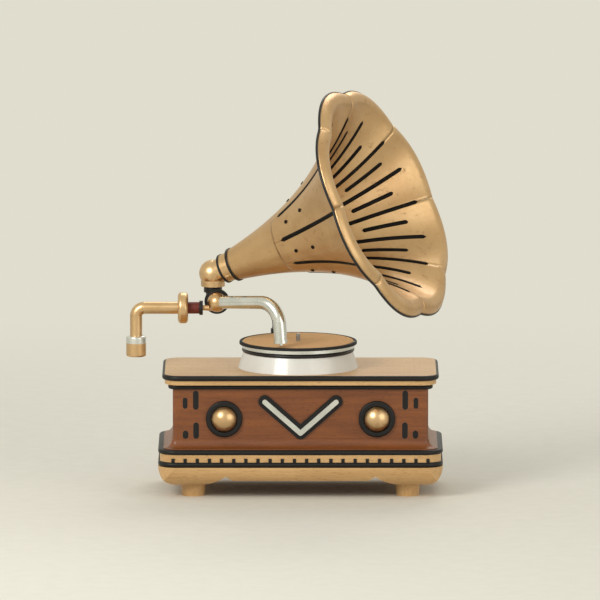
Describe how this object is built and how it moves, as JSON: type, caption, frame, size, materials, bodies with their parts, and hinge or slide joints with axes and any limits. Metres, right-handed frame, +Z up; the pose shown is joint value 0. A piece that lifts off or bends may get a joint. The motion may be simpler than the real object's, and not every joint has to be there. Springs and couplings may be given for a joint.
{
  "type": "table phonograph",
  "caption": "Table-top wind-up phonograph: moulded wooden case, round turntable, gooseneck tone arm with counterbalance and a petalled flaring horn",
  "frame": {"origin": "on the floor under the middle of the case", "axes": "+Z up, the front of the case towards -Y, the horn's mouth towards +X and -Y"},
  "size_m": [0.5472, 0.4792, 0.6913],
  "materials": {
    "oak": "varnished",
    "walnut": "varnished",
    "ebony": "satin ebonised",
    "iron": "black enamel",
    "nickel": "nickel plated",
    "enamel": "white enamel",
    "fibre": "vulcanised fibre",
    "brass": "lacquered",
    "steel": "brushed",
    "felt": "wool felt",
    "rubber": "matt",
    "lead": "black solder seam"
  },
  "bodies": {
    "case": {"feet": "oak", "plinth": "oak", "base_beads": "ebony", "dentil_band": "oak", "dentils": "ebony", "cove_moulding": "walnut", "front_panel": "walnut", "back_panel": "walnut", "side_panels": "walnut", "bottom_board": "walnut", "corner_blocks": "oak", "top_board": "oak", "top_beads": "ebony", "inlays": "ebony", "chevron_backing": "ebony", "chevron_bar": "nickel", "knob_bezels": "ebony", "shroud": "enamel", "shroud_bead": "iron", "motor_plates": "steel", "motor_pillars": "steel", "fixing_screws": "steel", "plate_bushes": "brass", "crank_bearing": "brass", "bracket": "iron"},
    "turntable": {"platter": "nickel", "platter_ring": "rubber", "felt": "felt", "spindle": "steel"},
    "intermediate": {"intermediate_gears": "brass"},
    "barrel": {"spring_barrel": "steel", "mainspring": "steel"},
    "winder": {"winding_arbor": "steel"},
    "speed_governor": {"governor": "brass"},
    "brake_control": {"brake_knob": "brass"},
    "brake_arm": {"brake_lever": "steel"},
    "speed_control": {"speed_knob": "brass"},
    "speed_arm": {"speed_lever": "steel"},
    "crank": {"crank_shaft": "steel", "crank_arm": "steel"},
    "grip": {"crank_grip": "oak"},
    "swivel": {"swivel_head": "iron"},
    "arm": {"hub_ball": "brass", "tone_arm": "nickel", "sound_box": "nickel", "needle": "steel", "sleeve_ring": "iron", "fibre_sleeve": "fibre", "arm_collar": "brass"},
    "balance": {"balance_rod": "brass", "balance_weight": "brass", "weight_cap": "nickel"},
    "elbow": {"horn_elbow": "brass"},
    "horn": {"horn_bands": "iron", "horn_collar": "brass", "horn_throat": "brass", "horn_petals": "brass", "horn_seams": "lead", "horn_rim": "iron", "horn_rivets": "lead"}
  },
  "joints": [
    {"name": "turntable_spin", "type": "hinge", "parent": "case", "child": "turntable", "pos_m": [-0.004, 0, 0.256], "axis": [0, 0, 1], "continuous": true},
    {"name": "intermediate_spin", "type": "hinge", "parent": "case", "child": "intermediate", "pos_m": [0.03623, -0.0205, 0.1465], "axis": [0, 0, 1], "continuous": true},
    {"name": "barrel_spin", "type": "hinge", "parent": "case", "child": "barrel", "pos_m": [0.08469, 0.00007, 0.1045], "axis": [0, 0, 1], "continuous": true},
    {"name": "governor_spin", "type": "hinge", "parent": "case", "child": "speed_governor", "pos_m": [-0.0431, 0.02258, 0.1465], "axis": [0, 0, 1], "continuous": true},
    {"name": "crank_turn", "type": "hinge", "parent": "case", "child": "crank", "pos_m": [0.08469, 0.123, 0.161], "axis": [0, 1, 0], "continuous": true},
    {"name": "winder_spin", "type": "hinge", "parent": "case", "child": "winder", "pos_m": [0.08469, 0.00007, 0.1815], "axis": [0, 0, 1], "continuous": true},
    {"name": "grip_spin", "type": "hinge", "parent": "crank", "child": "grip", "pos_m": [0.17669, 0.123, 0.161], "axis": [0, 1, 0], "continuous": true},
    {"name": "brake_turn", "type": "hinge", "parent": "case", "child": "brake_control", "pos_m": [0.1294, -0.095, 0.135], "axis": [0, -1, 0], "range_deg": [0, 45]},
    {"name": "brake_arm_swing", "type": "hinge", "parent": "case", "child": "brake_arm", "pos_m": [0.098, -0.05, 0.0945], "axis": [0, 0, 1], "range_deg": [-6, 0.5]},
    {"name": "speed_turn", "type": "hinge", "parent": "case", "child": "speed_control", "pos_m": [-0.1294, -0.095, 0.135], "axis": [0, -1, 0], "range_deg": [-45, 45]},
    {"name": "speed_arm_swing", "type": "hinge", "parent": "case", "child": "speed_arm", "pos_m": [-0.09, -0.045, 0.0945], "axis": [0, 0, 1], "range_deg": [-5, 5]},
    {"name": "arm_swing", "type": "hinge", "parent": "case", "child": "swivel", "pos_m": [-0.149, 0.028, 0.3216], "axis": [0, 0, 1], "range_deg": [-22, 15]},
    {"name": "arm_lift", "type": "hinge", "parent": "swivel", "child": "arm", "pos_m": [-0.142, -0.004, 0.3216], "axis": [0, -1, 0], "range_deg": [0, 7.5]},
    {"name": "balance_turn", "type": "hinge", "parent": "arm", "child": "balance", "pos_m": [-0.1933, 0, 0.3116], "axis": [1, 0, 0], "continuous": true},
    {"name": "horn_swivel", "type": "hinge", "parent": "case", "child": "elbow", "pos_m": [-0.149, 0.028, 0.367], "axis": [0, 0, 1], "range_deg": [-75, 75]},
    {"name": "horn_turn", "type": "hinge", "parent": "elbow", "child": "horn", "pos_m": [-0.149, 0.028, 0.367], "axis": [0.8442, -0.3583, 0.3987], "continuous": true}
  ],
  "couplings": [
    {"joint": "intermediate_spin", "follows": "turntable_spin", "ratio": -0.2},
    {"joint": "barrel_spin", "follows": "turntable_spin", "ratio": 0.033333},
    {"joint": "governor_spin", "follows": "turntable_spin", "ratio": -5},
    {"joint": "winder_spin", "follows": "crank_turn", "ratio": -0.5},
    {"joint": "brake_arm_swing", "follows": "brake_turn", "ratio": -0.113},
    {"joint": "speed_arm_swing", "follows": "speed_turn", "ratio": -0.094}
  ]
}
